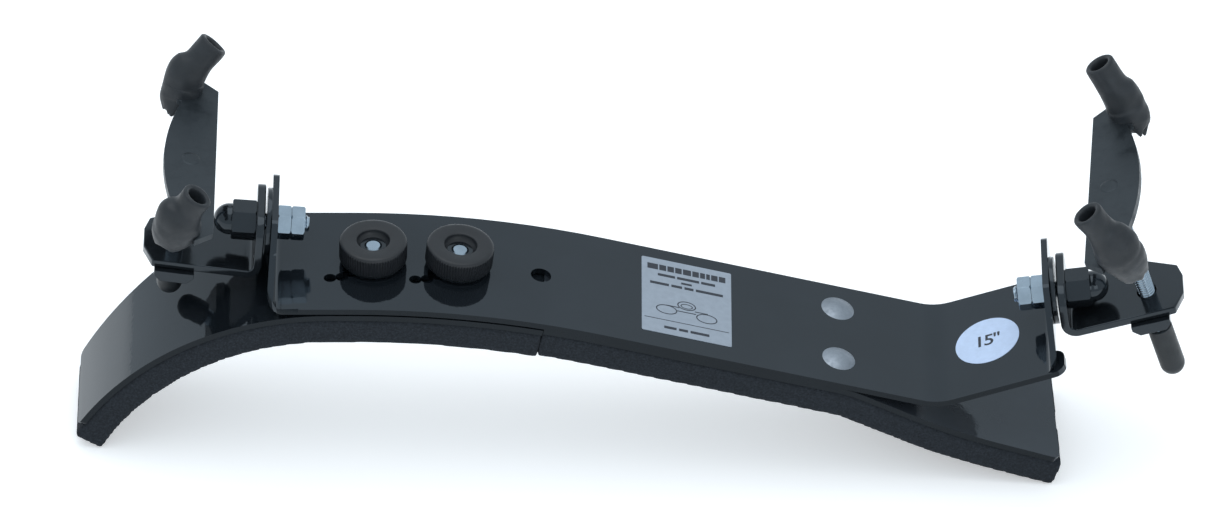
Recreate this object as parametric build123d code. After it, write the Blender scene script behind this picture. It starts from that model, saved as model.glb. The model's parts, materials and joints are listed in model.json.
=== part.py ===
"""Shoulder rest for a viola: a padded two-plate body with two adjustable fork feet.

A bent frame plate carries a bracket and a rubber-sleeved fork at each end. Under it lie a
fixed chest plate and a hook plate that slides when its two clamp knobs are slackened.

The plates are drawn with the flat left end of the frame plate's upper face at height 0, and
level() then tips the whole part until it stands on both pad ends, with its origin below its
middle. Millimetres and degrees; +X towards the chest end, +Y across the body, +Z up.
"""
import os
from math import asin, atan2, copysign, cos, degrees, radians, sin, tan

from build123d import *

# Plates and pads
SHEET = 1.5
FOAM = 7.0
WIDTH = 36.2
FOAM_INSET = 0.25
SEAM_X = -12.9
SEAM_GAP = 0.2
HOOK_CLEARANCE = 0.45

# Frame plate: bends of its upper face, from the left tab to the right tab
TAB_HEIGHT = 16.2
TAB_BEND_RADIUS = 1.6
TAB_FRONT_SLOPE = -9.5
TAB_FRONT_TOP = -5.5
TAB_REAR_TOP = 14.0
LEFT_BEND_X = -76.7
LEFT_TAB_LEAN = 5.0
ARCH_X = -28.24
ARCH_RADIUS = 230.0
ARCH_FALL = 14.85
VALLEY_RUN = 111.5
VALLEY_RADIUS = 12.0
WING_RISE = 19.2
WING_RUN = 28.3
RIGHT_TAB_LEAN = 8.0
SHOULDER = (3.2, 8.0, 2.8)
PLATE_CORNER = 4.0

# Padded plates under the frame plate
HOOK_BEND_X = -102.5
HOOK_FALL = 58.0
HOOK_RADIUS = 70.0
HOOK_RUN = 39.2
HOOK_OVERHANG = 3.5
HOOK_TAPER_X = -99.8
HOOK_TIP_Y = 7.9
CHEST_BEND_X = 59.5
CHEST_FALL = 27.0
CHEST_BEND_RADIUS = 25.0
CHEST_BEND_RUN = 28.0
CHEST_END_FALL = 18.2
CHEST_FLARE_RADIUS = 140.0
CHEST_END_RUN = 25.8
CHEST_OVERHANG = 1.1
CHEST_SKEW = 3.0
PAD_PLATE_CORNER = 1.8

# Screws share one metric size, M4, with a pitch of 0.7
SCREW = 4.0
SCREW_HOLE = 4.2
RUNNING_BORE = 4.1
NUT_FLATS = 7.0
NUT_HEIGHT = 3.2
NUT_GAP = 0.05
JOINT_GAP = 0.3

# Clamp knobs on the hook plate's studs
STUD_XS = (-53.4, -33.4)
SPARE_HOLE_X = -13.9
SPARE_HOLE = 4.9
SLOT_WIDTH = 4.7
SLOT_SHIFT = (-4.8, -3.55)
SLOT_STEP = 3.0
SLOT_STEPS = ((-7.3, -5.9), (-10.0, -6.3))
STUD_TOP = 4.9
STUD_HEAD = 8.0
STUD_HEAD_HEIGHT = 1.0
WASHER_LIFT = 0.35
KNOB_WASHER = 14.4
KNOB_WASHER_HEIGHT = 0.7
KNOB_LIFT = 1.2
KNOB = 16.0
KNOB_TOP = 6.5
KNOB_RECESS = 7.7
KNOB_RECESS_DEPTH = 1.7
KNOB_INSERT = 6.0
KNOB_EDGE = 0.45

# Rivets, label and size disc
RIVET_X = 56.3
RIVET_YS = (-8.9, 9.7)
RIVET_HEAD = 8.0
RIVET_HEAD_HEIGHT = 1.1
RIVET_SHANK = 4.0
RIVET_TAIL = 6.0
RIVET_TAIL_HEIGHT = 0.8
LABEL_X = 20.4
LABEL_Y = 0.7
LABEL_SIZE = (21.9, 27.3)
DISC_RUN = 12.8
DISC = 15.8
PRINT_THICKNESS = 0.12

# Brackets, in the frame of a tab bolt: X outwards along the bolt, Z up along the tab
FOOT_Y = 2.3
BOLT_INNER_END = 9.0
BOLT_OUTER_END = 10.8
TAB_WASHER = 16.0
TAB_WASHER_HEIGHT = 1.2
BRACKET_SHEET = 2.0
BRACKET_FRONT = 8.6
BRACKET_REAR = 11.0
BRACKET_TOP = 4.9
BRACKET_BEND_RADIUS = 1.6
BRACKET_ROUND = 5.0
BRACKET_FRONT_CORNER = (2.2, 5.0)
BRACKET_REAR_CORNER = (7.0, 4.0)
BRACKET_END_CORNER = (1.2, 4.0)
CAP_NUT_FLATS = 8.3
CAP_NUT_HEX = 5.7
CAP_NUT_DOME = 7.4
CAP_NUT_LENGTH = 10.0
BOSS = (9.4, 20.0, 2.9)
BOSS_BEVEL = 1.6

# Fork feet, in the frame of a stem: X outwards, Z up along the stem
BLADE = 1.8
BLADE_INNER = -5.5
BLADE_INNER_HALF = 26.5
BLADE_TIP = (-1.2, 30.0)
BLADE_NOTCH = (-0.2, 27.4)
BLADE_OUTER = 6.8
BLADE_OUTER_RADIUS = 64.0
BLADE_END_Y = 24.0
PRONG_WIDTH = 4.6
PRONG_X = 2.0
PRONG_Y = 26.4
PRONG_SHARE = 0.5
SPIGOT = 3.2
SLEEVE = 7.3
SLEEVE_BORE = 4.2
SLEEVE_BORE_DEPTH = 5.5
STEM_CAP = 6.0
STEM_CAP_END = 1.8

# Each foot, in a tab bolt's frame: height of the bolt above the tab's bend, drop and upward
# flare of the bracket's foot plate, and runs along that plate to the stem and to its end.
# Then, in the stem's frame: height of the blade, depth of the cap's tip, length of the cap,
# turn of the fork, shift of its blade, and the tip and lowest height of each rubber sleeve
FEET = {
    "left": {
        "bolt": 10.0, "drop": 8.7, "flare": 4.0, "run": 18.3, "reach": 26.0,
        "rise": 22.9, "depth": 15.4, "cap": 8.2, "turn": 0.0, "shift": -0.5,
        "sleeves": {"front": ((-0.2, 26.7, 12.0), -2.7), "rear": ((-2.5, -29.6, 13.0), -2.7)},
    },
    "right": {
        "bolt": 8.3, "drop": 6.1, "flare": 9.0, "run": 18.9, "reach": 27.8,
        "rise": 31.3, "depth": 25.7, "cap": 14.4, "turn": -4.0, "shift": 0.6,
        "sleeves": {"front": ((-0.8, -26.6, 15.8), -5.0), "rear": ((0.0, 27.9, 15.8), -2.7)},
    },
}


def heading(angle):
    """Unit vector in a side view, at an angle above the horizontal."""
    return Vector(cos(radians(angle)), sin(radians(angle)))


def bend_line(corners, radii, depth):
    """Upper line of a strip moved down into it: each corner slides along its bisector."""
    runs = [(end - start).normalized() for start, end in zip(corners, corners[1:])]
    normals = [Vector(run.Y, -run.X) for run in runs]
    moved = [corners[0] + normals[0] * depth]
    for corner, before, after in zip(corners[1:], normals, normals[1:]):
        moved.append(corner + (before + after) * (depth / (1 + before.dot(after))))
    moved.append(corners[-1] + normals[-1] * depth)
    turns = [before.cross(after).Z for before, after in zip(runs, runs[1:])]
    moved_radii = [radius + copysign(depth, turn) for radius, turn in zip(radii, turns)]
    return moved, moved_radii


def bent_layer(corners, radii, top, bottom, width, plane=Plane.XZ):
    """One layer of a bent strip, between two depths below its upper line."""
    upper, upper_radii = bend_line(corners, radii, top)
    lower, lower_radii = bend_line(corners, radii, bottom)
    outline = (
        FilletPolyline(*upper, radius=upper_radii)
        + FilletPolyline(*lower, radius=lower_radii)
        + Line(upper[0], lower[0])
        + Line(upper[-1], lower[-1])
    )
    return extrude(plane * make_face(outline), width / 2, both=True)


# Upper line of the frame plate, as points of a side view
LEFT_BEND = Vector(LEFT_BEND_X, 0)
ARCH = Vector(ARCH_X, 0)
VALLEY = ARCH + heading(-ARCH_FALL) * VALLEY_RUN
RIGHT_BEND = VALLEY + heading(WING_RISE) * WING_RUN
LEFT_UP = heading(90 - LEFT_TAB_LEAN)
RIGHT_UP = heading(90 + RIGHT_TAB_LEAN)
FRAME_LINE = [
    LEFT_BEND + LEFT_UP * TAB_HEIGHT,
    LEFT_BEND,
    ARCH,
    VALLEY,
    RIGHT_BEND,
    RIGHT_BEND + RIGHT_UP * TAB_HEIGHT,
]
FRAME_RADII = [TAB_BEND_RADIUS, ARCH_RADIUS, VALLEY_RADIUS, TAB_BEND_RADIUS]

def pad_line(hook_extra=0.0, chest_extra=0.0):
    """Upper line of the padded plates: it follows the frame plate's underside at the arch."""
    arch = bend_line(FRAME_LINE, FRAME_RADII, SHEET)[0][2]
    hook_bend = Vector(HOOK_BEND_X, -SHEET)
    chest_bend = arch + heading(-ARCH_FALL) * ((CHEST_BEND_X - ARCH_X) / cos(radians(ARCH_FALL)))
    flare = chest_bend + heading(-CHEST_FALL) * CHEST_BEND_RUN
    return [
        hook_bend + heading(180 + HOOK_FALL) * (HOOK_RUN + hook_extra),
        hook_bend,
        arch,
        chest_bend,
        flare,
        flare + heading(-CHEST_END_FALL) * (CHEST_END_RUN + chest_extra),
    ]


PLATE_LINE = pad_line()
FOAM_LINE = pad_line(HOOK_OVERHANG, CHEST_OVERHANG)
PAD_RADII = [HOOK_RADIUS, ARCH_RADIUS - SHEET, CHEST_BEND_RADIUS, CHEST_FLARE_RADIUS]


def frame_seat(x, y=0.0):
    """Plane on the frame plate's upper face, Z out of it, anywhere left of the valley."""
    arch_start = ARCH_X - ARCH_RADIUS * tan(radians(ARCH_FALL / 2))
    bend = ARCH_RADIUS * sin(radians(ARCH_FALL))
    along = min(max(x - arch_start, 0), bend)
    fall = asin(along / ARCH_RADIUS)
    beyond = max(x - arch_start - bend, 0)
    height = -ARCH_RADIUS * (1 - cos(fall)) - beyond * tan(fall)
    return Plane((x, y, height), x_dir=(cos(fall), 0, -sin(fall)), z_dir=(sin(fall), 0, cos(fall)))


def wing_seat(run):
    """Plane on the upper face of the raised wing, at a run from the valley."""
    point = VALLEY + heading(WING_RISE) * run
    up = heading(90 + WING_RISE)
    along = heading(WING_RISE)
    return Plane((point.X, 0, point.Y), x_dir=(along.X, 0, along.Y), z_dir=(up.X, 0, up.Y))


def bolt_frame(side):
    """Frame of a tab bolt: origin on the tab's outer face, X outwards, Z up along the tab."""
    bend, up, lean = (
        (LEFT_BEND, LEFT_UP, 180 - LEFT_TAB_LEAN)
        if side == "left"
        else (RIGHT_BEND, RIGHT_UP, RIGHT_TAB_LEAN)
    )
    out = heading(lean)
    point = bend + up * FEET[side]["bolt"] + out * SHEET
    return Plane((point.X, FOOT_Y, point.Y), x_dir=(out.X, 0, out.Y), z_dir=(up.X, 0, up.Y))


def foot_plate(side):
    """Place of a bracket's foot plate in a bolt frame: upper face, X outwards from the bend."""
    inner = TAB_WASHER_HEIGHT + JOINT_GAP + BRACKET_SHEET
    return Location((inner, 0, -FEET[side]["drop"]), (0, -FEET[side]["flare"], 0))


def stem_frame(side):
    """Frame of a stem: origin where its axis leaves the bracket's upper face."""
    return Plane(bolt_frame(side).location * foot_plate(side) * Pos(FEET[side]["run"], 0, 0))


def rod(diameter, start, end):
    """Round rod along Z between two heights."""
    return Pos(0, 0, start) * extrude(Circle(diameter / 2), end - start)


def ring(outer, inner, start, end):
    """Round ring along Z between two heights."""
    return rod(outer, start, end) - rod(inner, start - 1, end + 1)


def across(shape):
    """Turn a shape built along Z to lie along X."""
    return Rot(0, 90, 0) * shape


def hex_nut(flats, start, end, bore):
    """Hexagonal nut along Z with its corners eased at both faces."""
    hexagon = extrude(RegularPolygon(flats / 2, 6, major_radius=False), end - start)
    eased = chamfer(Cylinder(flats * 0.575, end - start).edges().filter_by(GeomType.CIRCLE), 0.3)
    blank = Pos(0, 0, start) * (hexagon & Pos(0, 0, (end - start) / 2) * eased)
    return blank - rod(bore, start - 1, end + 1)


def tab_trim(side):
    """Waste around a tab: all but its outline, which is cut away on the front side."""
    up, bend = (LEFT_UP, LEFT_BEND) if side == "left" else (RIGHT_UP, RIGHT_BEND)
    plane = Plane((bend.X, 0, bend.Y), x_dir=(0, 1, 0), z_dir=(up.Y, 0, -up.X))
    half = WIDTH / 2
    top = TAB_HEIGHT + 0.1
    keep = make_face(
        FilletPolyline(
            (-half, -5), (-half, 0.3), (TAB_FRONT_SLOPE, 9.7), (TAB_FRONT_TOP, top),
            (TAB_REAR_TOP, top), (half - 0.4, 6), (half, -5),
            radius=[0.3, 3.0, 4.0, 3.0, 5.0, 1.0, 0.3],
            close=True,
        )
    )
    blank = Pos(0, 10) * Rectangle(WIDTH + 10, 30)
    return extrude(plane * (blank - keep), 6, both=True) & (
        bent_layer(FRAME_LINE, FRAME_RADII, -0.5, SHEET + 0.5, WIDTH + 8)
    )


def plan_corners(x_low, x_high, radius):
    """Upright block with rounded corners that trims the frame plate's outline in plan."""
    outline = Pos((x_low + x_high) / 2, 0) * RectangleRounded(x_high - x_low, WIDTH, radius)
    return Pos(0, 0, -100) * extrude(outline, 200)


def stud_slot():
    """Slot that a stud slides along, with two small round steps beyond its end."""
    reach = Vector(*SLOT_SHIFT).length
    slope = degrees(atan2(SLOT_SHIFT[1], SLOT_SHIFT[0]))
    outline = Circle(SLOT_WIDTH / 2) + Pos(*SLOT_SHIFT) * Circle(SLOT_WIDTH / 2)
    outline += Rot(0, 0, slope) * Pos(reach / 2, 0) * Rectangle(reach, SLOT_WIDTH)
    outline += [Pos(*step) * Circle(SLOT_STEP / 2) for step in SLOT_STEPS]
    return Pos(0, 0, -10) * extrude(outline, 20)


def make_frame_plate():
    """Frame plate: bent sheet with a tab at each end, two stud slots and its holes."""
    plate = bent_layer(FRAME_LINE, FRAME_RADII, 0, SHEET, WIDTH)
    box = plate.bounding_box()
    plate &= plan_corners(box.min.X, box.max.X, PLATE_CORNER)
    for side in FEET:
        plate -= tab_trim(side)
        plate -= bolt_frame(side).location * across(rod(SCREW_HOLE, -10, 10))
    reach, depth, corner = SHOULDER
    shoulder = Box(reach + 8, depth, SHEET, align=(Align.MAX, Align.MIN, Align.MAX))
    shoulder = fillet(shoulder.edges().filter_by(Axis.Z).group_by(Axis.X)[-1], corner)
    plate += wing_seat(WING_RUN + reach).location * Pos(0, -WIDTH / 2, 0) * shoulder
    for x in STUD_XS:
        plate -= frame_seat(x).location * stud_slot()
    plate -= frame_seat(SPARE_HOLE_X).location * rod(SPARE_HOLE, -10, 10)
    for y in RIVET_YS:
        plate -= frame_seat(RIVET_X, y).location * rod(RIVET_SHANK, -10, 10)
    return plate


def seam_block(hook_side):
    """Half space on one side of the seam between the hook pad and the chest pad."""
    seat = frame_seat(SEAM_X)
    shift = -SEAM_GAP / 2 - 150 if hook_side else SEAM_GAP / 2 + 150
    return seat.location * Pos(shift, 0, 0) * Box(300, 100, 300)


def skew_waste(line):
    """Waste beyond the chest pad's end, which is cut slightly askew, shorter at the rear."""
    tip = line[-1]
    along = heading(-CHEST_END_FALL)
    plane = Plane((tip.X, -WIDTH / 2, tip.Y), x_dir=(along.X, 0, along.Y), z_dir=(-along.Y, 0, along.X))
    block = Pos(0, -10, 0) * Box(10, 60, 40, align=(Align.MIN, Align.MIN, Align.CENTER))
    return plane.location * Rot(0, 0, CHEST_SKEW) * block


def round_end(plate, hook_side):
    """Padded plate with the two corners of its free end rounded."""
    upright = plate.edges().filter_by(lambda edge: SHEET < edge.length + 0.01 < 1.2 * SHEET)
    corners = upright.sort_by(Axis.X)
    return fillet(corners[:2] if hook_side else corners[-2:], PAD_PLATE_CORNER)


def make_padded_plate(hook_side):
    """Plate and foam on one side of the seam; the sliding hook hangs lower by its clearance."""
    plate = bent_layer(PLATE_LINE, PAD_RADII, 0, SHEET, WIDTH) & seam_block(hook_side)
    foam = bent_layer(FOAM_LINE, PAD_RADII, SHEET, SHEET + FOAM, WIDTH - 2 * FOAM_INSET)
    foam &= seam_block(hook_side)
    if not hook_side:
        return round_end(plate - skew_waste(PLATE_LINE), hook_side), foam - skew_waste(FOAM_LINE)
    tip = FOAM_LINE[0].X
    taper = make_face(
        Polyline(
            (HOOK_TAPER_X, WIDTH / 2), (tip, HOOK_TIP_Y), (tip - 5, HOOK_TIP_Y - 2),
            (tip - 5, WIDTH), (HOOK_TAPER_X, WIDTH), close=True,
        )
    )
    waste = Pos(0, 0, -100) * extrude(taper, 200)
    drop = Pos(0, 0, -HOOK_CLEARANCE)
    return drop * round_end(plate - waste, hook_side), drop * (foam - waste)


def make_stud(x):
    """Clamp stud: it is fixed in the hook plate, with a flat head in the foam."""
    plate_under = -(SHEET + HOOK_CLEARANCE + SHEET)
    stud = rod(SCREW, plate_under, STUD_TOP - 0.4)
    stud += Pos(0, 0, STUD_TOP - 0.4) * Cone(SCREW / 2, SCREW / 2 - 0.4, 0.4, align=(
        Align.CENTER, Align.CENTER, Align.MIN))
    stud += rod(STUD_HEAD, plate_under - STUD_HEAD_HEIGHT, plate_under)
    return frame_seat(x).location * stud


def make_knob(x):
    """Clamp knob's washer, body and threaded insert on one stud."""
    seat = frame_seat(x).location
    washer = ring(KNOB_WASHER, RUNNING_BORE + 0.3, WASHER_LIFT, WASHER_LIFT + KNOB_WASHER_HEIGHT)
    blank = rod(KNOB, KNOB_LIFT, KNOB_TOP)
    blank = chamfer(blank.edges().filter_by(GeomType.CIRCLE), KNOB_EDGE)
    recess_floor = KNOB_TOP - KNOB_RECESS_DEPTH
    body = blank - rod(KNOB_RECESS, recess_floor, KNOB_TOP + 1) - rod(KNOB_INSERT, 0, KNOB_TOP)
    insert = ring(KNOB_INSERT, RUNNING_BORE, KNOB_LIFT, recess_floor)
    return {"washer": seat * washer, "knob": seat * body, "insert": seat * insert}


def make_rivets():
    """Rivets that hold the chest plate under the frame plate."""
    rivets = []
    tail = -2 * SHEET
    cap_radius = (RIVET_HEAD**2 / 4 + RIVET_HEAD_HEIGHT**2) / (2 * RIVET_HEAD_HEIGHT)
    for y in RIVET_YS:
        head = rod(RIVET_HEAD, 0, RIVET_HEAD_HEIGHT) & (
            Pos(0, 0, RIVET_HEAD_HEIGHT - cap_radius) * Sphere(cap_radius))
        rivet = head + rod(RIVET_SHANK, tail, 0) + rod(RIVET_TAIL, tail - RIVET_TAIL_HEIGHT, tail)
        rivets.append(frame_seat(RIVET_X, y).location * rivet)
    return rivets


def make_prints():
    """Paper label on the slope and round size disc on the wing."""
    label = extrude(RectangleRounded(*LABEL_SIZE, 0.4), PRINT_THICKNESS)
    disc = rod(DISC, 0, PRINT_THICKNESS)
    return frame_seat(LABEL_X, LABEL_Y).location * label, wing_seat(DISC_RUN).location * disc


def make_tab_hardware(side):
    """Bolt, pair of lock nuts and washer that stay with a tab."""
    place = bolt_frame(side).location
    bolt = chamfer(rod(SCREW, -BOLT_INNER_END, BOLT_OUTER_END).edges().filter_by(GeomType.CIRCLE), 0.4)
    first = hex_nut(NUT_FLATS, -SHEET - NUT_HEIGHT, -SHEET, SCREW)
    second = Pos(0, 0, -NUT_HEIGHT - NUT_GAP) * first
    nuts = [place * across(Rot(0, 0, 30) * nut) for nut in (first, second)]
    washer = ring(TAB_WASHER, SCREW, 0, TAB_WASHER_HEIGHT)
    return {"bolt": place * across(bolt), "nuts": nuts, "washer": place * across(washer)}


def make_bracket(side):
    """Foot bracket with its threaded boss and the cap nut that clamps it to the tab."""
    foot = FEET[side]
    rear = -1 if side == "left" else 1
    place = bolt_frame(side).location
    inner = foot_plate(side).position.X
    corner = Vector(inner, -foot["drop"])
    end = corner + heading(foot["flare"]) * foot["reach"]
    bracket = bent_layer(
        [Vector(inner, BRACKET_TOP), corner, end], [BRACKET_BEND_RADIUS], 0, BRACKET_SHEET, 60)
    front_cut, rear_cut, end_cut = BRACKET_FRONT_CORNER, BRACKET_REAR_CORNER, BRACKET_END_CORNER
    outline = [
        (0, -BRACKET_FRONT), (end.X - front_cut[0], -BRACKET_FRONT),
        (end.X, front_cut[1] - BRACKET_FRONT), (end.X, BRACKET_REAR - rear_cut[1] - end_cut[1]),
        (end.X - end_cut[0], BRACKET_REAR - rear_cut[1]),
        (end.X - end_cut[0] - rear_cut[0], BRACKET_REAR), (0, BRACKET_REAR),
    ]
    plan = make_face(Polyline(*[(x, y * rear) for x, y in outline], close=True))
    bracket &= Pos(0, 0, -50) * extrude(plan, 100)
    bracket = fillet(bracket.edges().filter_by(Axis.X).group_by(Axis.Z)[-1], BRACKET_ROUND)
    bracket -= across(rod(RUNNING_BORE, 0, 6))
    bracket -= foot_plate(side) * Pos(foot["run"], 0, 0) * rod(RUNNING_BORE + 0.6, -4, 4)

    boss = Box(*BOSS, align=(Align.CENTER, Align.CENTER, Align.MAX))
    boss = chamfer(boss.edges().filter_by(Axis.Y).group_by(Axis.Z)[0], BOSS_BEVEL)
    boss -= rod(RUNNING_BORE, -10, 10)
    boss = stem_frame(side).location * Pos(0, 0, -BRACKET_SHEET) * boss

    dome_end = inner + CAP_NUT_LENGTH
    radius = CAP_NUT_DOME / 2
    nut = Rot(0, 0, 30) * hex_nut(CAP_NUT_FLATS, inner, inner + CAP_NUT_HEX, 0.1)
    nut += rod(CAP_NUT_DOME, inner, dome_end - radius) + Pos(0, 0, dome_end - radius) * Sphere(radius)
    nut -= rod(RUNNING_BORE, 0, BOLT_OUTER_END + JOINT_GAP)
    return {"bracket": place * bracket, "boss": boss, "cap_nut": place * across(nut)}


def blade_outline():
    """Half outline of a fork blade: straight inner edge, eased tip, bowed outer edge."""
    bow = Vector(BLADE_OUTER - BLADE_OUTER_RADIUS, 0)
    end_x = bow.X + BLADE_OUTER_RADIUS * cos(asin(BLADE_END_Y / BLADE_OUTER_RADIUS))
    half_angle = asin(BLADE_END_Y / BLADE_OUTER_RADIUS) / 2
    middle = bow + Vector(cos(half_angle), sin(half_angle)) * BLADE_OUTER_RADIUS
    edge = ThreePointArc((BLADE_OUTER, 0), middle, (end_x, BLADE_END_Y))
    rest = Polyline(
        (end_x, BLADE_END_Y), BLADE_NOTCH, BLADE_TIP, (BLADE_INNER, BLADE_INNER_HALF),
        (BLADE_INNER, 0), (BLADE_OUTER, 0))
    return make_face(edge + rest)


def sleeve_stations(tip, tail):
    """Centres and half widths of a sleeve, from its torn lower end to its open tip."""
    hand = copysign(1, tip[1])
    foot = [
        (Vector(4.0, 23.6 * hand, tail), 2.9, 2.4),
        (Vector(3.6, 25.4 * hand, -0.6), 4.1, 3.7),
        (Vector(2.7, 26.6 * hand, 3.2), 4.3, 4.0),
    ]
    end = Vector(*tip)
    start = foot[-1][0]
    neck = start + (end - start) * 0.45
    return foot + [(neck, 3.8, 3.75), (end, SLEEVE / 2, SLEEVE / 2)]


def make_prong(tip):
    """Prong bent up from a blade end, inside its sleeve."""
    hand = copysign(1, tip[1])
    root = Vector(PRONG_X, PRONG_Y * hand, 0)
    top = root + (Vector(*tip) - root) * PRONG_SHARE
    sections = [
        Pos(*point) * Rectangle(width, BLADE)
        for point, width in ((root, PRONG_WIDTH), (top, PRONG_WIDTH * 0.75))
    ]
    lug = Pos(PRONG_X, (PRONG_Y - 2) * hand, 0) * Box(
        PRONG_WIDTH, 6, BLADE, align=(Align.CENTER, Align.CENTER, Align.MIN))
    return loft(sections) + lug


def make_fork(side):
    """Fork blade with its prongs, and the riveted stem below it."""
    foot = FEET[side]
    half = blade_outline()
    blade = extrude(half + mirror(half, about=Plane.XZ), BLADE)
    for tip, _ in foot["sleeves"].values():
        blade += make_prong(tip)
    blade = Pos(foot["shift"], 0, 0) * blade - rod(SPIGOT, -1, BLADE + 1)
    length = foot["rise"] + foot["depth"] - STEM_CAP_END - JOINT_GAP
    stem = rod(SCREW, -length, 0) + rod(SPIGOT, 0, BLADE)
    stem = chamfer(stem.edges().filter_by(GeomType.CIRCLE).group_by(Axis.Z)[0], 0.4)
    return blade, stem


def make_sleeve(tip, tail, shift):
    """Rubber sleeve for one prong: open at its tip, spread and torn at its lower end."""
    stations = sleeve_stations(tip, tail)
    sections = []
    for index, (centre, half_x, half_y) in enumerate(stations):
        before = stations[max(index - 1, 0)][0]
        after = stations[min(index + 1, len(stations) - 1)][0]
        plane = Plane(centre, x_dir=(1, 0, 0), z_dir=after - before)
        sections.append(plane * Ellipse(half_x, half_y))
    end, neck = stations[-1][0], stations[-2][0]
    mouth = Plane(end, z_dir=end - neck)
    bore = mouth.location * rod(SLEEVE_BORE, -SLEEVE_BORE_DEPTH, 1)
    return Pos(shift, 0, 0) * (loft(sections) - bore)


def make_foot(side):
    """Fork, stem, sleeves and stem cap of one foot."""
    foot = FEET[side]
    place = stem_frame(side).location
    spin = place * Location((0, 0, foot["rise"])) * Rot(0, 0, foot["turn"])
    blade, stem = make_fork(side)
    cap = rod(STEM_CAP, -foot["depth"] + STEM_CAP / 2, -foot["depth"] + foot["cap"])
    cap += Pos(0, 0, -foot["depth"] + STEM_CAP / 2) * Sphere(STEM_CAP / 2)
    cap -= rod(RUNNING_BORE, -foot["depth"] + STEM_CAP_END, 0)
    pieces = {"fork": spin * blade, "stem": spin * stem, "stem_cap": place * cap}
    for name, (tip, tail) in foot["sleeves"].items():
        pieces[f"{name}_sleeve"] = spin * (make_sleeve(tip, tail, foot["shift"]) - blade)
    return pieces


def make_pieces():
    """Every piece by node name, as drawn, before the part is levelled."""
    chest_plate, chest_foam = make_padded_plate(False)
    hook_plate, hook_foam = make_padded_plate(True)
    rivets = make_rivets()
    for rivet in rivets:
        chest_plate -= rivet
        chest_foam -= rivet
    studs = [make_stud(x) for x in STUD_XS]
    for stud in studs:
        hook_plate -= stud
        hook_foam -= stud
    label, disc = make_prints()
    pieces = {
        "frame_plate": make_frame_plate(),
        "chest_plate": chest_plate,
        "chest_foam_pad": chest_foam,
        "plate_rivets": rivets,
        "info_label": label,
        "size_disc": disc,
        "hook_plate": hook_plate,
        "hook_foam_pad": hook_foam,
        "hook_studs": studs,
    }
    for number, x in enumerate(STUD_XS, start=1):
        for name, piece in make_knob(x).items():
            pieces[f"clamp_{number}_{name}"] = piece
    for side in FEET:
        for name, piece in make_tab_hardware(side).items():
            pieces[f"{side}_tab_{name}"] = piece
        for name, piece in (make_bracket(side) | make_foot(side)).items():
            pieces[f"{side}_{name}"] = piece
    return pieces


def level(pieces):
    """Location that stands the part on both pad ends with its origin below its middle."""
    pads = bend_line(FOAM_LINE, PAD_RADII, SHEET + FOAM)[0]
    low, high = pads[0] - Vector(0, HOOK_CLEARANCE), pads[-1]
    turn = Rot(0, degrees(atan2(high.Y - low.Y, high.X - low.X)), 0)
    everything = [solid for piece in pieces.values() for solid in as_list(piece)]
    box = (turn * Compound(everything)).bounding_box()
    centre = box.center()
    return Pos(-centre.X, -centre.Y, -box.min.Z) * turn


def as_list(piece):
    """The solids of a piece, which may be a group."""
    return piece if isinstance(piece, list) else [piece]


def main():
    """Write one STEP file for each node."""
    pieces = make_pieces()
    place = level(pieces)
    os.makedirs("parts", exist_ok=True)
    for name, piece in pieces.items():
        solids = [solid for shape in as_list(piece) for solid in (place * shape).solids()]
        export_step(solids[0] if len(solids) == 1 else Compound(solids), f"parts/{name}.step")


if __name__ == "__main__":
    main()
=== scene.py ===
"""Looks of a violin shoulder rest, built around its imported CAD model.

Everything is in metres and in the CAD's frame. Metal pieces are copies of their CAD meshes with
eased edges; the foam, rubber, threads and knurled knobs are modelled here.
"""
import json
import math

import bmesh
import bpy
import numpy as np
from mathutils import Matrix, Vector, noise


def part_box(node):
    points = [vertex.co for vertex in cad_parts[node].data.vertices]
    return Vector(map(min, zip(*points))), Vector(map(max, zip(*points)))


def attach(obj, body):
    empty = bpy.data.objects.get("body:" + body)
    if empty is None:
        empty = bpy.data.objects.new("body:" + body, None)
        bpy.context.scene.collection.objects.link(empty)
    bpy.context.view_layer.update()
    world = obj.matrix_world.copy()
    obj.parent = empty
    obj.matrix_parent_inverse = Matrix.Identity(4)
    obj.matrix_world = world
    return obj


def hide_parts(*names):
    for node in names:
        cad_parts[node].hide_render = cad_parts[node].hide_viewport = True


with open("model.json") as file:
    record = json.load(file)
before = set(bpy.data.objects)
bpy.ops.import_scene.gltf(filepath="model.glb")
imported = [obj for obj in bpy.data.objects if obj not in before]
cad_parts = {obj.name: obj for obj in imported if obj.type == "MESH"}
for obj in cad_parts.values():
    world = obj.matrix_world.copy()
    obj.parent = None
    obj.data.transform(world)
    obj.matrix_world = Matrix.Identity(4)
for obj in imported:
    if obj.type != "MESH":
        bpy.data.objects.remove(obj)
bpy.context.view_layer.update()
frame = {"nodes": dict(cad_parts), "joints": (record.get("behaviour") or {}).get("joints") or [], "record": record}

MM = 0.001
JOINTS = {joint["name"]: joint for joint in frame["joints"]}
BODY_OF = {node: body for body, nodes in frame["record"]["behaviour"]["bodies"].items()
           for node in nodes}
SLOT_OF = {part["node"]: part["material_slot"] for part in frame["record"]["subparts"]}

# Camera, solved from the photograph: the turn that levels the body, then a long lens that looks
# at it from the front and above. Distances are in metres, the lens in millimetres.
LEVEL = Matrix.Translation((-0.00916511, -0.00339012, 0.0485181)) @ Matrix.Rotation(
    math.radians(-2.87069), 4, "Y")
ELEVATION = math.radians(39.1)
DISTANCE = 3.0588
AIM = 0.001647
LENS = 385.5
SENSOR = 36
FAR_CLIP = 50


# ---------------------------------------------------------------- materials

def linear(colour):
    """Linear colour from sRGB display values between 0 and 255."""
    return tuple((value / 255 / 12.92) if value <= 10 else ((value / 255 + 0.055) / 1.055) ** 2.4
                 for value in colour)


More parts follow.
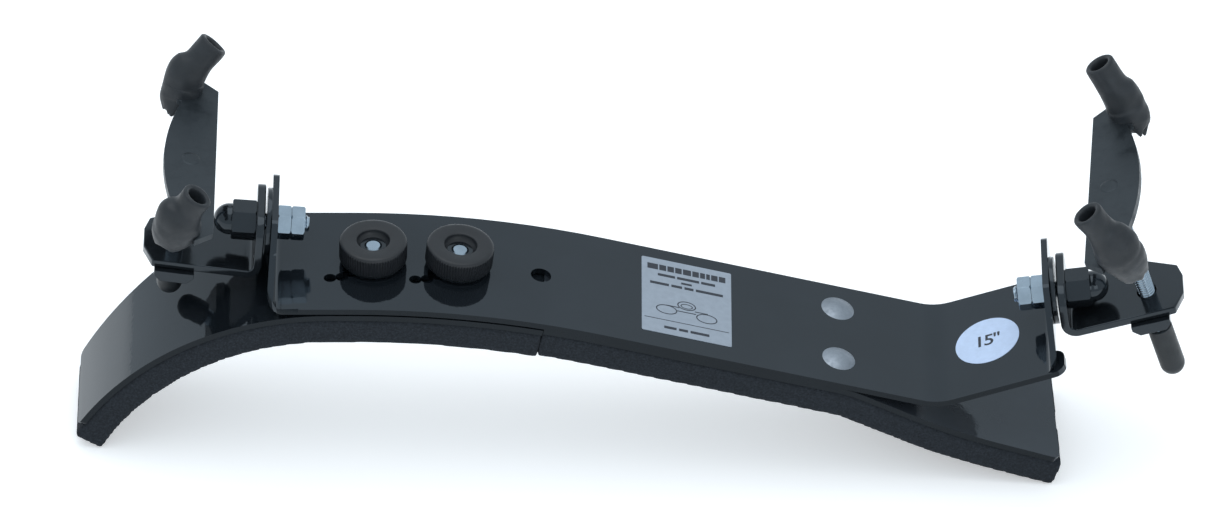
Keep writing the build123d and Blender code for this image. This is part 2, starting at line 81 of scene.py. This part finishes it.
class Nodes:
    """Short hand for building one material's node tree."""

    def __init__(self, name):
        self.material = bpy.data.materials.new(name)
        self.material.use_nodes = True
        self.tree = self.material.node_tree
        self.shader = self.tree.nodes["Principled BSDF"]
        self.place = self.add("ShaderNodeTexCoord").outputs["Object"]

    def add(self, kind, **values):
        node = self.tree.nodes.new(kind)
        for key, value in values.items():
            if key in node.inputs:
                node.inputs[key].default_value = value
            else:
                setattr(node, key, value)
        return node

    def link(self, output, target):
        self.tree.links.new(output, target)

    def noise(self, scale, detail=3.0, roughness=0.55, vector=None):
        node = self.add("ShaderNodeTexNoise", Scale=scale, Detail=detail, Roughness=roughness)
        self.link(vector or self.place, node.inputs["Vector"])
        return node.outputs["Fac"]

    def cells(self, scale):
        node = self.add("ShaderNodeTexVoronoi", Scale=scale)
        self.link(self.place, node.inputs["Vector"])
        return node.outputs["Distance"]

    def ramp(self, source, stops):
        """Value or colour ramp; a stop is (place, value) or (place, colour)."""
        node = self.add("ShaderNodeValToRGB")
        while len(node.color_ramp.elements) < len(stops):
            node.color_ramp.elements.new(0.5)
        for element, (place, value) in zip(node.color_ramp.elements, stops):
            element.position = place
            colour = (value,) * 3 if isinstance(value, (int, float)) else value
            element.color = (*colour, 1)
        self.link(source, node.inputs["Fac"])
        return node.outputs["Color"]

    def bump(self, height, strength, distance, normal=None):
        node = self.add("ShaderNodeBump", Strength=strength, Distance=distance)
        self.link(height, node.inputs["Height"])
        if normal is not None:
            self.link(normal, node.inputs["Normal"])
        return node.outputs["Normal"]

    def set(self, **values):
        for key, value in values.items():
            self.shader.inputs[key.replace("_", " ")].default_value = value


def shade(colour, factor):
    """Colour scaled by a factor."""
    return tuple(channel * factor for channel in colour)


def lacquer(name, colour, rough, level=0.5):
    """Black gloss paint: faint cloudiness, orange peel and specks of dust."""
    m = Nodes(name)
    cloud = m.noise(45, 4)
    m.link(m.ramp(cloud, [(0.3, shade(colour, 0.8)), (0.7, shade(colour, 1.25))]),
           m.shader.inputs["Base Color"])
    wear = m.noise(260, 5, 0.65)
    m.link(m.ramp(wear, [(0.35, rough * 0.7), (0.75, rough * 1.5)]), m.shader.inputs["Roughness"])
    peel = m.bump(m.noise(700, 2), 0.05, 0.0002)
    specks = m.ramp(m.cells(420), [(0.0, 1.0), (0.05, 0.0)])
    m.link(m.bump(specks, 0.05, 0.0001, peel), m.shader.inputs["Normal"])
    m.set(IOR=1.49, Specular_Tint=(*TINT, 1), Specular_IOR_Level=level)
    return m.material


def rubber(name, colour, rough):
    """Moulded rubber with a dusty bloom and a fine, slightly pitted skin."""
    m = Nodes(name)
    bloom = m.ramp(m.noise(160, 6, 0.6), [(0.32, shade(colour, 0.78)), (0.55, colour),
                                          (0.78, shade(colour, 1.45))])
    m.link(bloom, m.shader.inputs["Base Color"])
    m.link(m.ramp(m.noise(420, 3), [(0.3, rough - 0.1), (0.7, rough + 0.12)]),
           m.shader.inputs["Roughness"])
    skin = m.bump(m.noise(2600, 3), 0.22, 0.00012)
    m.link(m.bump(m.cells(900), 0.10, 0.0001, skin), m.shader.inputs["Normal"])
    m.set(IOR=1.5, Specular_IOR_Level=0.36)
    return m.material


def foam(name, colour):
    """Closed-cell foam: matt, with fine open cells that show as light and dark specks."""
    m = Nodes(name)
    grain = m.noise(2100, 4, 0.75)
    speck = m.ramp(grain, [(0.34, shade(colour, 0.62)), (0.52, colour), (0.7, shade(colour, 1.6))])
    m.link(speck, m.shader.inputs["Base Color"])
    cells = m.bump(m.cells(1500), 0.45, 0.00025)
    m.link(m.bump(grain, 0.5, 0.0003, cells), m.shader.inputs["Normal"])
    m.set(Roughness=0.93, IOR=1.4, Specular_IOR_Level=0.25)
    return m.material


def metal(name, colour, rough, scale=500):
    """Plated metal with fine brushing, stains and small pits."""
    m = Nodes(name)
    stain = m.noise(120, 5, 0.6)
    m.link(m.ramp(stain, [(0.3, shade(colour, 0.82)), (0.7, shade(colour, 1.08))]),
           m.shader.inputs["Base Color"])
    grain = m.noise(scale, 4, 0.7)
    m.link(m.ramp(grain, [(0.3, rough * 0.7), (0.7, rough * 1.4)]), m.shader.inputs["Roughness"])
    m.link(m.bump(grain, 0.12, 0.00006), m.shader.inputs["Normal"])
    m.set(Metallic=1.0)
    return m.material


def plastic(name, colour, rough, grain=1200):
    """Moulded plastic with a fine spark-eroded texture."""
    m = Nodes(name)
    m.link(m.ramp(m.noise(90, 4), [(0.3, shade(colour, 0.85)), (0.7, shade(colour, 1.15))]),
           m.shader.inputs["Base Color"])
    m.link(m.ramp(m.noise(300, 3), [(0.3, rough - 0.06), (0.7, rough + 0.08)]),
           m.shader.inputs["Roughness"])
    m.link(m.bump(m.noise(grain, 3), 0.12, 0.0001), m.shader.inputs["Normal"])
    m.set(IOR=1.5, Specular_IOR_Level=0.4)
    return m.material


def print_film(name, colour, rough):
    """Printed film: an even tint with a trace of mottle and grain."""
    m = Nodes(name)
    m.link(m.ramp(m.noise(600, 4), [(0.3, shade(colour, 0.93)), (0.7, shade(colour, 1.04))]),
           m.shader.inputs["Base Color"])
    m.link(m.ramp(m.noise(250, 3), [(0.3, rough - 0.05), (0.7, rough + 0.08)]),
           m.shader.inputs["Roughness"])
    m.link(m.bump(m.noise(3000, 2), 0.05, 0.00005), m.shader.inputs["Normal"])
    return m.material


# Cool tint of the studio's reflections in the paint
TINT = (0.78, 0.90, 1.0)
MATERIALS = {
    "black_lacquer": lacquer("lacquer", linear((20, 24, 28)), 0.05),
    "black_hardware": lacquer("satin_black", linear((20, 23, 26)), 0.12),
    "pad_foam": foam("foam", linear((35, 39, 44))),
    "sleeve_rubber": rubber("sleeve_rubber", linear((33, 37, 41)), 0.5),
    "cap_plastic": rubber("cap_plastic", linear((32, 36, 39)), 0.42),
    "zinc_plate": metal("zinc", linear((158, 173, 185)), 0.2),
    "rivet_aluminium": metal("rivet", linear((147, 154, 162)), 0.5, 900),
    "knob_plastic": plastic("knob", linear((22, 25, 29)), 0.42),
    "label_film": print_film("label", linear((142, 151, 162)), 0.4),
    "disc_film": print_film("disc", linear((192, 209, 236)), 0.42),
}
INK = print_film("ink", linear((30, 36, 46)), 0.45)
CHEST_PAINT = lacquer("chest_lacquer", linear((38, 42, 47)), 0.06)
EDGE_PAINT = lacquer("edge_lacquer", linear((13, 16, 19)), 0.3, 0.22)
BLADE_PAINT = lacquer("blade_paint", linear((27, 31, 34)), 0.42)


# ---------------------------------------------------------------- pieces

def add_piece(name, mesh, body, slot, replaced=(), material=None):
    """Scene object for a finished mesh, riding on a CAD body."""
    piece = bpy.data.objects.new(name, mesh)
    bpy.context.scene.collection.objects.link(piece)
    mesh.materials.clear()
    mesh.materials.append(material or MATERIALS[slot])
    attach(piece, body)
    if replaced:
        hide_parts(*replaced)
    return piece


def finish_modifiers(piece):
    """Apply a piece's modifiers to its mesh."""
    depsgraph = bpy.context.evaluated_depsgraph_get()
    depsgraph.update()
    mesh = bpy.data.meshes.new_from_object(piece.evaluated_get(depsgraph))
    piece.modifiers.clear()
    piece.data = mesh


WELD = 2e-6
FLAT_ANGLE = math.radians(0.4)
SHARP_ANGLE = math.radians(38)


def eased_copy(node, width, material=None):
    """Copy of a CAD piece with its sharp edges eased, which stands for it."""
    mesh = frame["nodes"][node].data.copy()
    solid = bmesh.new()
    solid.from_mesh(mesh)
    bmesh.ops.remove_doubles(solid, verts=solid.verts, dist=WELD)
    bmesh.ops.dissolve_limit(solid, angle_limit=FLAT_ANGLE, verts=solid.verts, edges=solid.edges)
    for face in solid.faces:
        face.smooth = True
    solid.to_mesh(mesh)
    solid.free()
    piece = add_piece(f"{node}_piece", mesh, BODY_OF[node], SLOT_OF[node], (node,), material)
    bevel = piece.modifiers.new("ease", "BEVEL")
    bevel.width = width
    bevel.segments = 2
    bevel.limit_method = "ANGLE"
    bevel.angle_limit = SHARP_ANGLE
    bevel.use_clamp_overlap = True
    piece.modifiers.new("normals", "WEIGHTED_NORMAL")
    finish_modifiers(piece)
    return piece


def grid_mesh(name, rings, close_start=False, close_end=False):
    """Smooth mesh through rings of points of equal length, closed around."""
    count = len(rings[0])
    points = [tuple(point) for ring in rings for point in ring]
    faces = []
    for row in range(len(rings) - 1):
        for column in range(count):
            nearby = (column + 1) % count
            faces.append((row * count + column, row * count + nearby,
                          (row + 1) * count + nearby, (row + 1) * count + column))
    if close_start:
        faces.append(tuple(reversed(range(count))))
    if close_end:
        last = (len(rings) - 1) * count
        faces.append(tuple(range(last, last + count)))
    mesh = bpy.data.meshes.new(name)
    mesh.from_pydata(points, [], faces)
    for polygon in mesh.polygons:
        polygon.use_smooth = True
    return mesh


def basis(origin, z, x):
    """Matrix of a frame at an origin, with a given Z and an X near the given one."""
    z = Vector(z).normalized()
    y = z.cross(Vector(x)).normalized()
    x = y.cross(z)
    turn = Matrix((x, y, z)).transposed().to_4x4()
    return Matrix.Translation(Vector(origin)) @ turn


def transformed(mesh, matrix):
    """The mesh, moved by a matrix."""
    mesh.transform(matrix)
    mesh.update()
    return mesh


BOLT = {side: basis(JOINTS[f"{side}_tilt"]["pos_m"], JOINTS[f"{side}_tilt"]["axis"], (0, 0, -1))
        for side in ("left", "right")}
STEM = {side: basis(JOINTS[f"{side}_turn"]["pos_m"], JOINTS[f"{side}_turn"]["axis"],
                    JOINTS[f"{side}_tilt"]["axis"])
        for side in ("left", "right")}


# M4 thread: its measures, and the steps around and along one turn of its mesh
THREAD_RADIUS = 2.0 * MM
THREAD_DEPTH = 0.36 * MM
THREAD_PITCH = 0.7 * MM
THREAD_CHAMFER = 0.6 * MM
THREAD_AROUND = 40
THREAD_ROWS = 6


def thread_mesh(name, start, end):
    """Rod along Z with a helical thread and chamfered ends."""
    rows = int((end - start) / THREAD_PITCH * THREAD_ROWS)
    rings = []
    for row in range(rows + 1):
        height = start + (end - start) * row / rows
        ease = min(height - start, end - height) / THREAD_CHAMFER
        limit = THREAD_RADIUS - THREAD_DEPTH * 1.1 * max(0.0, 1 - ease)
        ring = []
        for column in range(THREAD_AROUND):
            turn = column / THREAD_AROUND
            phase = (height / THREAD_PITCH - turn) % 1.0
            cut = THREAD_DEPTH * min(1.0, max(0.0, abs(phase - 0.5) * 2.6 - 0.2))
            radius = min(THREAD_RADIUS - cut, limit)
            angle = turn * math.tau
            ring.append((radius * math.cos(angle), radius * math.sin(angle), height))
        rings.append(ring)
    return grid_mesh(name, rings, close_start=True, close_end=True)


def lathe_mesh(name, profile, around=96, teeth=0, tooth=0.0, knurled=()):
    """Turned solid about Z; rows listed as knurled get vertical teeth."""
    rings = []
    for index, (radius, height) in enumerate(profile):
        ring = []
        for column in range(around):
            angle = column / around * math.tau
            cut = 0.0
            if index in knurled:
                cut = tooth * (0.5 - 0.5 * math.cos(angle * teeth))
            reach = radius - cut
            ring.append((reach * math.cos(angle), reach * math.sin(angle), height))
        rings.append(ring)
    return grid_mesh(name, rings)


# Metal sheets and small hardware, with the width of their eased edges in millimetres; the sheets'
# front and rear edges, which face along Y, are painted darker
FACES_Y = 0.9
for node, width in {
    "left_bracket": 0.32, "right_bracket": 0.32, "left_boss": 0.25, "right_boss": 0.25,
    "left_tab_washer": 0.2, "right_tab_washer": 0.2,
    "clamp_1_washer": 0.12, "clamp_2_washer": 0.12,
}.items():
    eased_copy(node, width * MM)
for node, paint in (("frame_plate", None), ("hook_plate", None), ("chest_plate", CHEST_PAINT)):
    plate = eased_copy(node, 0.28 * MM, paint)
    plate.data.materials.append(EDGE_PAINT)
    for polygon in plate.data.polygons:
        if abs(polygon.normal.y) > FACES_Y:
            polygon.material_index = 1
for side in ("left", "right"):
    eased_copy(f"{side}_fork", 0.25 * MM, BLADE_PAINT)
    eased_copy(f"{side}_cap_nut", 0.2 * MM)
    eased_copy(f"{side}_tab_nuts", 0.12 * MM)
# The clamp inserts take their slot's satin black, which is painted shade for the dark recess round each knob's
# stud
for node in ("plate_rivets", "hook_studs", "left_stem_cap", "right_stem_cap", "clamp_1_insert",
             "clamp_2_insert", "info_label", "size_disc"):
    source = frame["nodes"][node]
    source.data.materials.clear()
    source.data.materials.append(MATERIALS[SLOT_OF[node]])

# Threaded stems and tab bolts: where each begins and ends, in millimetres along its own axis
STEM_SPAN = {"left": (-13.3, 22.9), "right": (-23.6, 31.3)}
STEM_INTO_BLADE = 0.6
BOLT_SPAN = (-9.0, 10.8)
for side, (low, high) in STEM_SPAN.items():
    stem = thread_mesh(f"{side}_stem_thread", low * MM, (high + STEM_INTO_BLADE) * MM)
    add_piece(f"{side}_stem_thread", transformed(stem, STEM[side]), f"{side}_foot", "zinc_plate",
              (f"{side}_stem",))
    bolt = thread_mesh(f"{side}_bolt_thread", BOLT_SPAN[0] * MM, BOLT_SPAN[1] * MM)
    add_piece(f"{side}_bolt_thread", transformed(bolt, BOLT[side]), "frame", "zinc_plate",
              (f"{side}_tab_bolt",))

# Flush stem ends in the blades: radius and height over the blade's upper face, in millimetres
STEM_END = [(0.01, 0.04), (1.6, 0.04), (2.25, 0.02), (2.3, -0.05), (2.0, -0.5)]
BLADE_TOP = 1.8
for side, (_, high) in STEM_SPAN.items():
    end = lathe_mesh("end", [(r * MM, z * MM) for r, z in STEM_END], around=40)
    place = STEM[side] @ Matrix.Translation((0, 0, (high + BLADE_TOP) * MM))
    add_piece(f"{side}_stem_end", transformed(end, place), f"{side}_foot", "black_hardware", (),
              BLADE_PAINT)

# Knurled clamp knobs: radius and height along the screw, in millimetres
KNOB_TEETH = 72
KNOB_TOOTH = 0.22 * MM
KNURLED_ROWS = (3, 4, 5, 6)
KNOB = [(3.0, 1.2), (7.5, 1.2), (7.85, 1.35), (8.0, 1.6), (8.0, 2.9), (8.0, 4.3), (8.0, 5.5),
        (7.93, 5.95), (7.72, 6.28), (7.3, 6.47), (6.8, 6.5), (4.2, 6.5), (3.95, 6.42), (3.85, 6.2),
        (3.85, 4.82), (3.0, 4.82), (3.0, 1.2)]
for number in (1, 2):
    joint = JOINTS[f"clamp_{number}_turn"]
    knob = lathe_mesh(f"clamp_{number}_knob_grip", [(r * MM, z * MM) for r, z in KNOB], around=480,
                      teeth=KNOB_TEETH, tooth=KNOB_TOOTH, knurled=KNURLED_ROWS)
    place = basis(joint["pos_m"], joint["axis"], (1, 0, 0))
    add_piece(f"clamp_{number}_knob_grip", transformed(knob, place), f"clamp_{number}",
              "knob_plastic", (f"clamp_{number}_knob",))


# ---------------------------------------------------------------- rubber sleeves

# Each foot: its height on the stem, its turn about it and its shift, then for each sleeve the
# mouth's centre, the height of the lower rim and the girth of the body. Millimetres and degrees.
FEET = {
    "left": {"rise": 22.9, "turn": 0.0, "shift": -0.5,
             "sleeves": {"front": ((-0.2, 26.7, 12.0), -4.2, 1.1),
                         "rear": ((-2.5, -29.6, 13.0), -2.7, 0.96)}},
    "right": {"rise": 31.3, "turn": -4.0, "shift": 0.6,
              "sleeves": {"front": ((-0.8, -26.6, 15.8), -6.2, 1.12),
                          "rear": ((0.0, 27.9, 15.8), -2.7, 0.94)}},
}


def smooth_path(stations, steps):
    """Catmull-Rom points through stations of a centre and two half widths."""
    rows = [np.array([*centre, a, b]) for centre, a, b in stations]
    rows = [2 * rows[0] - rows[1], *rows, 2 * rows[-1] - rows[-2]]
    out = []
    for index in range(1, len(rows) - 2):
        p0, p1, p2, p3 = rows[index - 1:index + 3]
        for step in range(steps):
            t = step / steps
            out.append(0.5 * (2 * p1 + (p2 - p0) * t + (2 * p0 - 5 * p1 + 4 * p2 - p3) * t * t
                              + (3 * p1 - p0 - 3 * p2 + p3) * t ** 3))
    out.append(rows[-2])
    return out


# Sleeve mesh: points around it, steps between stations, rows of the torn rim, the row of the lip
# with its spread below and above and its height, and the mouth's rows (along the axis, radius)
SLEEVE_AROUND = 48
SLEEVE_STEPS = 9
RIM_ROWS = 8
LIP_ROW = 32
LIP_BELOW, LIP_ABOVE = 7.0, 1.6
LIP_HEIGHT = 0.2
RIM_START = ((2, 0.45), (1, 0.72), (0, 0.86), (0, 0.97))
MOUTH = (
    (0.28, 3.56), (0.48, 3.34), (0.55, 3.05), (0.5, 2.7), (0.32, 2.42), (0.0, 2.28),
    (-0.8, 2.2), (-3.0, 2.12), (-5.4, 2.08))


def sleeve_mesh(name, tip, tail, girth, seed):
    """Rubber sleeve: rounded open mouth, smooth neck, bulged body and a torn lower rim."""
    hand = math.copysign(1, tip[1])
    body = [
        (Vector((4.0, 23.4 * hand, tail)), 3.3 * girth, 2.8 * girth),
        (Vector((3.7, 25.0 * hand, -0.6)), 4.7 * girth, 4.1 * girth),
        (Vector((3.1, 26.2 * hand, 2.8)), 5.0 * girth, 4.5 * girth),
        (Vector((2.6, 26.6 * hand, 5.6)), 4.7 * girth, 4.3 * girth),
    ]
    end = Vector(tip)
    neck = body[-1][0].lerp(end, 0.5)
    stations = body + [(neck, 3.7, 3.65), (end, 3.65, 3.65)]
    path = smooth_path(stations, SLEEVE_STEPS)
    total = len(path)

    def ring_at(index, scale, along=0.0, fixed=None):
        """Ring around one point of the path, scaled, or round with a fixed radius."""
        before = Vector(path[max(index - 1, 0)][:3])
        after = Vector(path[min(index + 1, total - 1)][:3])
        tangent = (after - before).normalized()
        across = Vector((1, 0, 0))
        across = (across - tangent * across.dot(tangent)).normalized()
        other = tangent.cross(across)
        centre = Vector(path[index][:3]) + tangent * along
        points = []
        wide, deep = path[index][3] * scale, path[index][4] * scale
        if fixed:
            wide = deep = fixed
        for column in range(SLEEVE_AROUND):
            angle = column / SLEEVE_AROUND * math.tau
            x, y = math.cos(angle), math.sin(angle)
            offset = across * (wide * x) + other * (deep * y)
            ruffle = 0.0
            if index < RIM_ROWS:
                torn = (RIM_ROWS - index) / RIM_ROWS
                ruffle = torn * (noise.noise(Vector((x * 1.3, y * 1.3, seed))) * 2.2
                                 + noise.noise(Vector((x * 4, y * 4, seed + 5))) * 0.8)
            wave = 1 + 0.05 * noise.noise(Vector((x * 1.2, y * 1.2, index * 0.16 + seed)))
            reach = (index - LIP_ROW) / (LIP_BELOW if index < LIP_ROW else LIP_ABOVE)
            wave += LIP_HEIGHT * math.exp(-reach * reach) * max(0.0, x) ** 2
            points.append((centre + offset * wave + tangent * ruffle) * MM)
        return points

    rings = [ring_at(index, scale) for index, scale in RIM_START]
    rings += [ring_at(index, 1.0) for index in range(1, total)]
    rings += [ring_at(total - 1, 1, along, radius) for along, radius in MOUTH]
    return grid_mesh(name, rings, close_start=True, close_end=True)


for side, foot in FEET.items():
    fork = STEM[side] @ Matrix.Translation((0, 0, foot["rise"] * MM)) @ Matrix.Rotation(
        math.radians(foot["turn"]), 4, "Z") @ Matrix.Translation((foot["shift"] * MM, 0, 0))
    for seed, (end_name, (tip, tail, girth)) in enumerate(foot["sleeves"].items()):
        mesh = sleeve_mesh(
            f"{side}_{end_name}_rubber", tip, tail, girth, seed * 3.7 + len(side))
        add_piece(f"{side}_{end_name}_rubber", transformed(mesh, fork), f"{side}_foot",
                  "sleeve_rubber", (f"{side}_{end_name}_sleeve",))


# ---------------------------------------------------------------- foam pads

# Seam between the pads: a point on it, the way across it, how far from it the foam is shaped, the
# gap that is left on each side and how far the foam bulges towards it
SEAM = Vector((-21.84, -3.39, 43.37)) * MM
SEAM_ALONG = Vector((0.9897, 0, -0.1433))
SEAM_REACH = 2.0 * MM
SEAM_REST = 0.05 * MM
SEAM_BULGE = 0.35 * MM

# Skin of the foam: mesh size, softening, then its mean swell and two waves (per metre, height) in
# millimetres
FOAM_VOXEL = 0.8 * MM
FOAM_SOFTENING = 3
FOAM_SWELL = 0.06
FOAM_WAVES = ((90, 0.08), (420, 0.03))


def foam_pad(node):
    """Foam pad from its CAD solid: softened edges and a finely uneven skin."""
    source = frame["nodes"][node]
    piece = add_piece(f"{node}_soft", source.data.copy(), BODY_OF[node], SLOT_OF[node], (node,))
    remesh = piece.modifiers.new("remesh", "REMESH")
    remesh.mode = "VOXEL"
    remesh.voxel_size = FOAM_VOXEL
    remesh.use_smooth_shade = True
    true_up = piece.modifiers.new("true_up", "SHRINKWRAP")
    true_up.target = source
    soften = piece.modifiers.new("soften", "SMOOTH")
    soften.factor = 0.5
    soften.iterations = FOAM_SOFTENING
    finish_modifiers(piece)
    mesh = piece.data
    mesh.materials.clear()
    mesh.materials.append(MATERIALS["pad_foam"])
    low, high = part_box(node)
    hand = math.copysign(1, ((low + high) / 2 - SEAM).dot(SEAM_ALONG))
    for vertex in mesh.vertices:
        place = vertex.co
        swell = FOAM_SWELL
        for scale, height in FOAM_WAVES:
            swell += noise.noise(place * scale) * height
        vertex.co = place + vertex.normal * (swell * MM)
        depth = (vertex.co - SEAM).dot(SEAM_ALONG) * hand
        if depth < SEAM_REACH:
            snug = max(SEAM_REST, depth - SEAM_BULGE * (1 - max(0.0, depth) / SEAM_REACH))
            vertex.co += SEAM_ALONG * hand * (snug - depth)


for pad in ("chest_foam_pad", "hook_foam_pad"):
    foam_pad(pad)


# ---------------------------------------------------------------- prints

PRINT_HEIGHT = 0.02 * MM
PRINT_LIFT = 0.06 * MM
OVAL_SIDES = 40


def flat_print(name, shapes, place):
    """Thin printed marks: each shape is a closed outline, or an outline and a hole."""
    points, faces = [], []
    for outline, hole in shapes:
        start = len(points)
        count = len(outline)
        if hole is None:
            points += [(x * MM, y * MM, PRINT_HEIGHT) for x, y in outline]
            faces.append(tuple(range(start, start + count)))
        else:
            points += [(x * MM, y * MM, PRINT_HEIGHT) for x, y in outline + hole]
            faces += [(start + k, start + (k + 1) % count, start + count + (k + 1) % count,
                       start + count + k) for k in range(count)]
    mesh = bpy.data.meshes.new(name)
    mesh.from_pydata(points, [], faces)
    return transformed(mesh, place)


def bar(x, y, width, height):
    """Rectangle centred at a point."""
    return ([(x - width / 2, y - height / 2), (x + width / 2, y - height / 2),
             (x + width / 2, y + height / 2), (x - width / 2, y + height / 2)], None)


def oval(x, y, a, b, line):
    """Oval drawn with a line of a given width, from its centre and half widths."""
    turns = [math.tau * k / OVAL_SIDES for k in range(OVAL_SIDES)]
    return ([(x + a * math.cos(t), y + b * math.sin(t)) for t in turns],
            [(x + (a - line) * math.cos(t), y + (b - line) * math.sin(t)) for t in turns])


def words(y, height, widths, gap):
    """Row of bars that stand for words, centred."""
    total = sum(widths) + gap * (len(widths) - 1)
    x = -total / 2
    out = []
    for width in widths:
        out.append(bar(x + width / 2, y, width, height))
        x += width + gap
    return out


def sheet_place(node, slope):
    """Frame just over the upper face of a thin print: X down its slope, Z out of it."""
    low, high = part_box(node)
    up = Vector((math.sin(slope), 0, math.cos(slope)))
    along = Vector((math.cos(slope), 0, -math.sin(slope)))
    return basis((low + high) / 2 + up * PRINT_LIFT, up, along)


# Label: rows of words, then a small line drawing, a rule and a last row. Millimetres.
LABEL_SLOPE = math.radians(11.98)
LABEL = sheet_place("info_label", LABEL_SLOPE)
marks = words(10.6, 2.0, [2.6, 1.7, 1.6, 1.6, 2.0, 1.6, 1.2, 0.9, 1.6, 1.6], 0.3)
marks += words(7.9, 0.9, [4.2, 5.4, 3.4], 0.5)
marks += words(6.2, 0.7, [2.6], 0.4)
marks += words(4.6, 0.9, [4.6, 2.6, 2.2, 6.6], 0.6)
marks += [oval(-4.9, -4.6, 2.6, 1.7, 0.28), oval(4.9, -5.2, 2.6, 1.7, 0.28),
          oval(0, -1.9, 2.3, 1.6, 0.28), oval(0, -2.1, 1.5, 0.9, 0.24)]
marks += [bar(-3.4, -3.0, 3.2, 0.3), bar(3.6, -3.4, 3.2, 0.3), bar(0, -4.3, 4.6, 0.3)]
marks += [bar(0, -8.6, 20.6, 0.22)]
marks += words(-11.2, 0.9, [3.0, 2.2, 4.6], 0.6)
add_piece("label_marks", flat_print("label_marks", marks, LABEL), "frame", "label_film", (), INK)

# Size number on the round disc
DISC_SLOPE = math.radians(-22.07)
DISC = sheet_place("size_disc", DISC_SLOPE)
size_text = bpy.data.curves.new("size_mark", "FONT")
size_text.body = '15"'
size_text.size = 5.4 * MM
size_text.offset = 0.07 * MM
size_text.space_character = 0.86
size_text.align_x = "CENTER"
size_text.align_y = "CENTER"
size_text.resolution_u = 6
carrier = bpy.data.objects.new("size_mark_text", size_text)
bpy.context.scene.collection.objects.link(carrier)
bpy.context.view_layer.update()
mark = bpy.data.meshes.new_from_object(carrier)
bpy.data.objects.remove(carrier)
mark.transform(Matrix.Translation((0, 0, PRINT_HEIGHT)))
add_piece("size_mark", transformed(mark, DISC), "frame", "disc_film", (), INK)


# ---------------------------------------------------------------- floor, lights and camera

# White paper floor that is lit a little from within, so that it renders white as in the photograph
FLOOR_HALF = 4
FLOOR_WHITE = 0.88
FLOOR_GLOW = 0.36
floor_mesh = bpy.data.meshes.new("floor")
floor_mesh.from_pydata([(x * FLOOR_HALF, y * FLOOR_HALF, 0) for x, y in (
    (-1, -1), (1, -1), (1, 1), (-1, 1))], [], [(0, 1, 2, 3)])
floor = bpy.data.objects.new("floor", floor_mesh)
bpy.context.scene.collection.objects.link(floor)
paper = Nodes("floor_paper")
paper.set(Base_Color=(FLOOR_WHITE, FLOOR_WHITE, FLOOR_WHITE, 1), Roughness=0.9,
          Emission_Color=(1, 1, 1, 1), Emission_Strength=FLOOR_GLOW, Specular_IOR_Level=0.1)
floor_mesh.materials.append(paper.material)


# Soft lights: place and size in metres, power in watts and colour; both aim at the body
LIGHTS = {
    "top_light": ((-0.15, 0.1, 0.9), 0.7, 2.2, (0.96, 0.98, 1.0)),
    "front_light": ((0.5, -1.1, 0.7), 0.6, 1.6, (0.95, 0.98, 1.0)),
}
LIGHT_AIM = (0, 0, 0.04)
SKY = (0.82, 0.92, 1.0, 1)
SKY_STRENGTH = 0.95


def area_light(name, place, size, power, colour):
    """Square soft light aimed at the body."""
    light = bpy.data.lights.new(name, "AREA")
    light.shape = "SQUARE"
    light.size = size
    light.energy = power
    light.color = colour
    lamp = bpy.data.objects.new(name, light)
    bpy.context.scene.collection.objects.link(lamp)
    lamp.location = place
    aim = Vector(LIGHT_AIM) - Vector(place)
    lamp.rotation_euler = aim.to_track_quat("-Z", "Y").to_euler()


for name, settings in LIGHTS.items():
    area_light(name, *settings)

scene = bpy.context.scene
world = bpy.data.worlds.new("studio")
scene.world = world
world.use_nodes = True
background = world.node_tree.nodes["Background"]
background.inputs["Color"].default_value = SKY
background.inputs["Strength"].default_value = SKY_STRENGTH

camera_data = bpy.data.cameras.new("camera")
camera_data.lens = LENS
camera_data.sensor_width = SENSOR
camera_data.clip_end = FAR_CLIP
camera = bpy.data.objects.new("camera", camera_data)
scene.collection.objects.link(camera)
camera.matrix_world = LEVEL @ Matrix.Translation((
    AIM,
    -DISTANCE * math.cos(ELEVATION) + AIM * math.sin(ELEVATION),
    DISTANCE * math.sin(ELEVATION) + AIM * math.cos(ELEVATION),
)) @ Matrix.Rotation(math.pi / 2 - ELEVATION, 4, "X")
scene.camera = camera
scene.view_settings.view_transform = "Standard"
scene.view_settings.look = "None"
